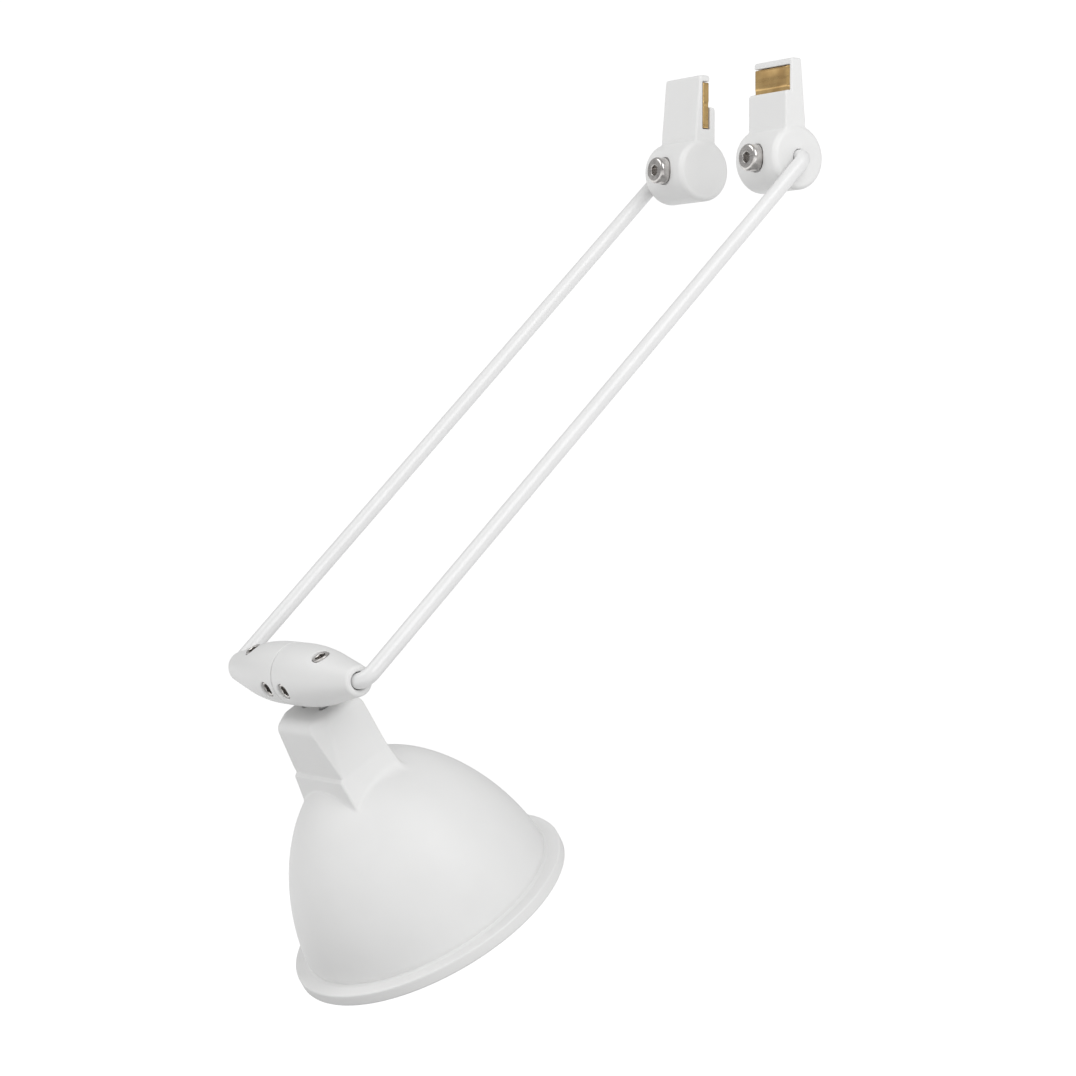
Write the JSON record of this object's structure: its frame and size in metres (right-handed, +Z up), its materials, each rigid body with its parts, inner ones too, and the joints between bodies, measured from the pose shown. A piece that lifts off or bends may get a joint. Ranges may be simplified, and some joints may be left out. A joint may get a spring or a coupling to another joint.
{
  "type": "rail-mounted swing arm spotlight",
  "caption": "Low-voltage spotlight on two parallel swing arms: rail clips at the top, a tapered spindle and a deep white shade at the bottom.",
  "frame": {"origin": "middle of the two clips, on the plane of the clip shoulders that meet the underside of the rail", "axes": "+X along both pivot axes from the left clip to the right clip, +Y away from the side that the arms reach to, +Z up"},
  "size_m": [0.079, 0.1606, 0.2533],
  "materials": {
    "white_plastic": "satin white moulded nylon",
    "white_shade": "fine matt white moulded plastic",
    "white_rod_coating": "white insulating coat on steel rod, soft sheen",
    "brass": "drawn brass, lightly brushed",
    "bright_screw": "bright nickel plate",
    "steel_pin": "drawn wire",
    "ceramic": null,
    "reflector_glass": "faceted reflector coating on pressed glass",
    "clear_glass": "clear"
  },
  "bodies": {
    "clip_left": {"clip_body_left": "white_plastic", "clip_contact_left": "brass", "clip_sleeve_left": "brass", "clip_screw_left": "bright_screw"},
    "arms": {"arm_rod_left": "white_rod_coating", "arm_rod_right": "white_rod_coating"},
    "clip_right": {"clip_body_right": "white_plastic", "clip_contact_right": "brass", "clip_sleeve_right": "brass", "clip_screw_right": "bright_screw"},
    "head": {"spindle_half_left": "white_plastic", "spindle_terminal_left": "brass", "holder_contact_left": "brass", "rod_set_screw_left": "bright_screw", "stem_set_screw_left": "bright_screw", "stem_pin_left": "steel_pin", "lamp_pin_left": "steel_pin", "spindle_half_right": "white_plastic", "spindle_terminal_right": "brass", "holder_contact_right": "brass", "rod_set_screw_right": "bright_screw", "stem_set_screw_right": "bright_screw", "stem_pin_right": "steel_pin", "lamp_pin_right": "steel_pin", "spindle_insulator": "white_plastic", "shade": "white_shade", "lampholder": "ceramic", "lamp_base": "ceramic", "lamp_reflector": "reflector_glass", "lamp_capsule": "clear_glass", "lamp_glass": "clear_glass"}
  },
  "joints": [
    {"name": "arm_swing", "type": "hinge", "parent": "clip_left", "child": "arms", "pos_m": [0, 0, -0.0185], "axis": [1, 0, 0], "range_deg": [-40, 130]},
    {"name": "clip_right_turn", "type": "hinge", "parent": "arms", "child": "clip_right", "pos_m": [0, 0, -0.0185], "axis": [1, 0, 0], "range_deg": [-130, 40]},
    {"name": "head_tilt", "type": "hinge", "parent": "arms", "child": "head", "pos_m": [0, -0.14338, -0.15793], "axis": [1, 0, 0], "range_deg": [-150, 75]}
  ],
  "couplings": [
    {"joint": "clip_right_turn", "follows": "arm_swing", "ratio": -1}
  ]
}
